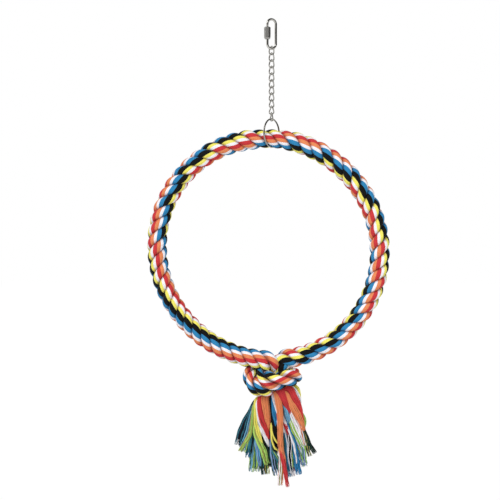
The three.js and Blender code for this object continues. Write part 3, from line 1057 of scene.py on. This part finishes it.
# Left tail, outer strand: a strand of the front rope end, unlaid into navy, blue and lime locks. They
# swing out to the left where they leave the back of the knot.
add_tail("left_tail_outer", "left_tail_1", seed=100, locks=[
    ("navy black black navy teal", [
        (-2, 13, -44, 3), (-15, 11, -50, 3.4), (-22.8, 10, -64, 3.8), (-30.2, 9, -77, 4.4),
        (-36, 9, -93, 5), (-38.2, 9, -103.5, 4.4)]),
    ("navy teal blue navy", [
        (-1, 12, -45, 4), (-17, 10, -56, 4.5), (-23.5, 9, -70, 5), (-27.5, 9, -84, 5),
        (-31, 9.5, -95, 4.5), (-34, 10, -105, 4)]),
    ("lilac sky teal", [
        (-1, 11, -45, 3), (-17, 8.5, -58, 3.2), (-23, 8, -74, 3.4), (-26, 8, -88, 3.6),
        (-30, 8.5, -99, 3.4), (-33.5, 9, -107, 3)]),
    ("lime lime lime lime olive", [
        (-1, 8, -46, 3), (-15.8, 5, -54, 3), (-18.4, 5, -68, 4.4), (-20, 6, -82, 5), (-23.2, 7, -94, 5),
        (-28.6, 8, -103, 4.8), (-34, 9, -112, 4.4)]),
    ("lime sky teal", [
        (0, 10, -46, 3.5), (-15, 9, -62, 3.5), (-21, 8.5, -84, 3.5), (-25, 9, -100, 3.8),
        (-29, 10, -113, 4)]),
    ("green black teal", [
        (0, 12, -46, 6), (-13, 11, -62, 6), (-19, 10, -84, 5.5), (-21.5, 10, -100, 5),
        (-23, 11, -113.5, 5)]),
    ("blue teal lilac", [
        (0, 14, -46, 5), (-14, 14, -60, 5), (-22, 14, -82, 6), (-27, 13, -98, 5.5), (-29, 13, -111, 5)]),
])

# Left tail, back strand: longer locks of loose cotton behind the others, lime, lilac, black and red.
# The knot holds their upper ends, and their lower ones are cut blunt.
add_tail("left_tail_back", "left_tail_2", seed=200, locks=[
    ("lime lime sky teal", [
        (0, 14, -47, 6), (-12, 15, -64, 6), (-17, 16, -92, 6), (-19, 17, -118, 6), (-20.5, 18, -138, 6)]),
    ("lilac blue teal lime", [
        (1, 15, -47, 5), (-8, 15, -66, 5), (-13, 15, -94, 5.5), (-12.5, 16, -120, 5.5),
        (-13.5, 17, -137.5, 5.5)]),
    ("black navy", [
        (2, 17, -46, 6), (-4, 20, -64, 6), (-9, 21, -92, 6.5), (-11, 21, -116, 6.5), (-17, 20, -134, 6)]),
    ("red red orange", [
        (2, 18, -47, 6), (-2, 21, -64, 7), (-5, 22, -88, 7), (-7, 22, -108, 7), (-7, 21, -128, 6)]),
    ("white yellow", [
        (0, 17, -47, 5), (-9, 20, -66, 5.5), (-14, 21, -88, 5.5), (-18, 20, -110, 5.5),
        (-20, 19, -126, 5)]),
    ("blue teal", [
        (0, 16, -47, 5), (-12, 18, -62, 5), (-18, 18, -82, 5), (-23, 17, -102, 5), (-25, 16, -120, 5)]),
])

# Left tail, front strand: broad yellow, white, red and orange locks over long dark ones of cotton.
# They leave the knot side by side, as the strand's stripes lie in the rope.
add_tail("left_tail_front", "left_tail_3", seed=300, locks=[
    ("black black green", [
        (2, 12, -47, 7), (1, 7, -66, 8), (-1, 6, -84, 8.5), (-0.5, 6, -100, 8), (2, 7, -116, 7),
        (1.5, 8, -131, 5)]),
    ("lime lime lime lime olive", [
        (0, 10, -47, 4), (-13, 5, -72, 4), (-15.4, 4, -89, 5), (-10.8, 3, -101, 6),
        (-5.4, 3.5, -113, 6.4), (-1.6, 5, -128, 5)]),
    ("green teal black", [
        (1, 13, -47, 7), (-7, 11, -74, 7), (-9, 10, -102, 7), (-7, 9, -122, 7.5), (-4.5, 9, -140.5, 7)]),
    ("lilac blue sky", [
        (0, 12, -47, 4), (-10, 7, -78, 4), (-14, 6, -100, 4), (-11.5, 6, -116, 4.5), (-9.5, 7, -130, 4)]),
    ("olive green lime", [
        (1, 12, -47, 5), (-3, 10, -80, 5), (-2, 9, -112, 5), (-1.5, 8, -128, 5), (-0.5, 8, -140, 5)]),
    ("yellow", [
        (-2, 9, -43, 3), (-14.4, 0.5, -48, 3), (-15.2, -0.5, -62, 3.4), (-14.6, 0, -76, 5),
        (-12, 1, -88, 4.6), (-9, 2, -98, 2.6), (-7.4, 3, -104.5, 1.2)]),
    ("white", [
        (0, 8, -42, 3), (-12.4, -0.5, -50, 3), (-12.2, -1.5, -64, 3.4), (-9.5, -1, -78, 4.4),
        (-5, 0.5, -90, 5), (-1, 1.6, -99, 3.4), (0.8, 2.4, -105, 1.4)]),
    ("red", [
        (1, 7, -41, 5), (-9.6, -1.5, -46, 5.2), (-9.6, -2.5, -62, 6), (-6, -2, -76, 7),
        (-1.6, -0.5, -86, 5.5), (1.2, 2, -96, 2.4)]),
    ("orange", [
        (3, 7, -40, 9), (-3.4, 0, -45, 10), (-2.2, -2, -58, 9), (-0.4, -1.5, -70, 6.8), (0.8, 0, -79, 4),
        (1.6, 2, -86, 1.6)]),
])

# Right tail, middle strand: a strand of the back rope end, unlaid into black, blue and white locks, two
# yellow curls and long orange and red locks. It hangs straight down from the middle of the knot.
add_tail("right_tail_middle", "right_tail_1", seed=400, locks=[
    ("black", [
        (5, 2, -42, 5), (3.8, 0.5, -54, 5.5), (5, 0.8, -70, 6.5), (8, 1.2, -84, 7.5), (9, 2, -98, 7),
        (8.6, 3, -114, 6)]),
    ("teal lime lilac green", [
        (6, 4, -44, 7), (6, 6, -78, 8), (6, 5, -108, 8.5), (8.5, 3, -126, 9), (11.5, 0, -140.5, 8.4)]),
    ("lime white teal", [
        (5, 4, -44, 4), (5, 7, -80, 4.5), (5.5, 4, -108, 4.5), (10, 1, -118, 4), (15.5, -1, -128, 3)]),
    ("blue", [
        (6, 0, -38, 2.6), (5.8, -1.5, -46, 2.8), (7.2, -2.2, -57, 4.2), (9, -1.8, -69, 5),
        (10.6, 0, -81, 2.6)]),
    ("yellow olive", [
        (5, 1, -70, 1.5), (4, -0.5, -84, 1.5), (5.2, -1.5, -99, 1.5), (9, -2, -108.5, 1.4),
        (14.5, -2, -112, 1.2)]),
    ("yellow", [
        (5, 1, -72, 1.2), (4.8, -1, -86, 1.2), (8, -1.5, -96, 1.2), (13.4, -2, -104.5, 1)]),
    ("white", [
        (5, -2, -37, 4), (6.6, -3, -42, 4), (9, -3.5, -52, 4), (12.4, -4, -64, 3),
        (16.4, -3.5, -76, 2.6), (19, -2.5, -88, 2)]),
    ("white white olive orange", [
        (10, -1, -46, 4), (14, -2, -80, 4.5), (15.5, -4, -106, 5), (16.5, -7, -128, 5.6),
        (15, -9, -152.5, 5.6)]),
    ("orange", [
        (9, -3, -36, 6), (11.6, -6, -44, 7), (13.6, -7.5, -54, 7.4), (15.1, -8.5, -66, 6.6),
        (15.2, -8.5, -80, 6.2), (15.2, -8.8, -96, 6), (16, -9, -108, 5.6), (19, -9.5, -122, 4.4),
        (20.5, -9.5, -132, 2.4)]),
    ("red", [
        (11, -2, -50, 3), (15, -6, -86, 4), (16.5, -9.5, -112, 4), (19.5, -10, -126, 4.4),
        (22, -9.8, -140, 4), (24.2, -9.5, -154.2, 3.6)]),
])

# Right tail, back strand: blue, black, white and sky locks of loose cotton, with orange and yellow ones
# at the back. They come out behind the broad front locks and show below them.
add_tail("right_tail_back", "right_tail_2", seed=500, locks=[
    ("black black black white", [
        (8, 4, -42, 5), (18, 5, -62, 5), (25.5, 3, -80, 5), (27.4, 3, -100, 4.6), (27, 5, -120, 4.6),
        (29, 8, -134, 4)]),
    ("blue teal white", [
        (8, 2, -42, 4), (15, 2, -62, 4), (19, 1, -84, 4), (22.6, 2, -102, 4), (23.4, 4, -118, 4.4),
        (28, 7, -143.5, 4.6)]),
    ("sky", [
        (8, 0, -40, 4), (18, -3, -46, 4.5), (21.2, -4, -56, 5.6), (24, -3.6, -66, 5.8),
        (26.2, -1, -77, 3)]),
    ("blue", [
        (9, 3, -42, 4), (20, 2, -70, 4), (27.2, 0, -87, 3.4), (32.4, 1, -101, 4), (35, 3, -118, 5.6),
        (38.4, 7, -140.5, 6.2)]),
    ("white", [
        (9, 3, -42, 1.8), (20, 1, -72, 1.8), (27.5, -1, -90, 1.8), (33, 0, -108, 1.8),
        (36, 3, -126, 1.6)]),
    ("lilac white blue lime", [
        (9, 4, -43, 6), (22, 5, -72, 6), (34, 4, -98, 7), (41, 6, -114, 7.5), (45.5, 9, -130.5, 7)]),
    ("white red", [
        (9, 5, -43, 3.5), (20, 8, -74, 3.5), (26, 10, -104, 3.5), (29, 12, -126, 3.5),
        (32, 13, -143, 3.4)]),
    ("lime teal white", [
        (9, 5, -43, 4.5), (22, 7, -76, 4.5), (28, 6, -100, 4.5), (30.5, 6, -116, 4.5),
        (32, 8, -132, 4.2)]),
    ("orange red", [
        (9, 6, -44, 6), (20, 11, -70, 6.5), (27, 14, -96, 6.5), (33, 15, -118, 6.5), (36, 14, -136, 6)]),
    ("yellow lime", [
        (8, 6, -44, 5), (16, 12, -72, 5.5), (20, 15, -100, 5.5), (22, 15, -122, 5.5), (23, 13, -136, 5)]),
    ("red", [
        (8, 5, -43, 3), (17, 3, -62, 3.4), (20, 0, -74, 4), (23, -1, -83, 3.6), (25.4, 1, -91, 1.6)]),
    ("white", [
        (8, 4, -43, 2), (17, 2, -62, 2), (21, -1.5, -76, 2), (25.5, 0, -85, 1.4)]),
])

# Right tail, front strand: broad red and orange locks of cotton, then white, lime and dark green ones.
# They leave the knot below the band's right end and fan out to the right.
add_tail("right_tail_front", "right_tail_3", seed=600, locks=[
    ("green black green", [
        (10, 3, -42, 4), (26, 4, -56, 4), (38, 2, -74, 4), (46.4, 0, -91, 4.6), (51, -3, -103, 5.4),
        (57.8, -5, -113, 4.6)]),
    ("olive lime green", [
        (10, 2, -42, 4), (26, 2, -58, 4), (38, 0, -78, 4), (46, -3, -98, 4.2), (51.6, -6, -117, 4)]),
    ("lime lime lime white", [
        (10, 3, -42, 4), (21, 4.5, -58, 4.4), (28, -0.5, -74, 5), (33, -3, -87, 6), (39, -4, -97, 5.8),
        (45, -4.5, -108.5, 4.6)]),
    ("lime teal lilac", [
        (10, 1, -42, 5), (26, 1, -60, 5), (38, -1, -84, 5), (43.5, -4, -106, 5), (45.5, -6, -128, 5)]),
    ("white white white lime", [
        (10, 0, -41, 5), (23, -2, -54, 5.5), (28.6, -3.5, -63, 6), (32.6, -4, -72, 6.5),
        (37, -5, -81, 6.4), (41, -5.5, -92, 5), (45, -5.5, -104, 3)]),
    ("red", [
        (9, -3, -34, 9), (14, -6, -36, 11), (18.4, -7.5, -45, 9.4), (23, -6.5, -54, 7),
        (26.2, -5, -61, 4), (27.4, -4, -66, 1.6)]),
    ("yellow", [
        (16, 0, -38, 2.6), (30, -2, -31, 2.8), (36.4, -3, -33.5, 3), (39, -3, -40, 2.6),
        (39.8, -2, -48, 1.6)]),
    ("white", [
        (16, -1, -39, 3), (28, -4, -32.5, 3.2), (34.8, -5, -38, 3.2), (38.6, -5, -46, 2.8),
        (40.2, -4, -53, 2)]),
    ("red", [
        (13, -2, -38, 8), (25.5, -6, -34, 9), (31.6, -8, -44, 9), (37, -8, -54, 8), (40, -7.5, -63, 5),
        (43, -7, -72, 2.4)]),
    ("orange", [
        (12, -2, -39, 4), (22.4, -7.5, -40, 4), (26.6, -8.5, -49, 5.4), (32.6, -9, -60, 8),
        (37.6, -9, -69, 7.4), (41.6, -8.5, -77, 5), (44.2, -8, -85, 2.4)]),
    ("orange white", [
        (13, -2, -40, 2), (28, -7, -54, 2), (36, -7.5, -70, 2.2), (40.4, -7.5, -83, 2.4),
        (43, -7, -94, 2.4), (44.6, -7, -102, 1.4)]),
    ("lime", [
        (13, 0, -42, 2.4), (32, -2, -52, 2.6), (42, -4, -66, 3.6), (45, -5, -75, 4),
        (44.8, -5, -84, 2.4)]),
])
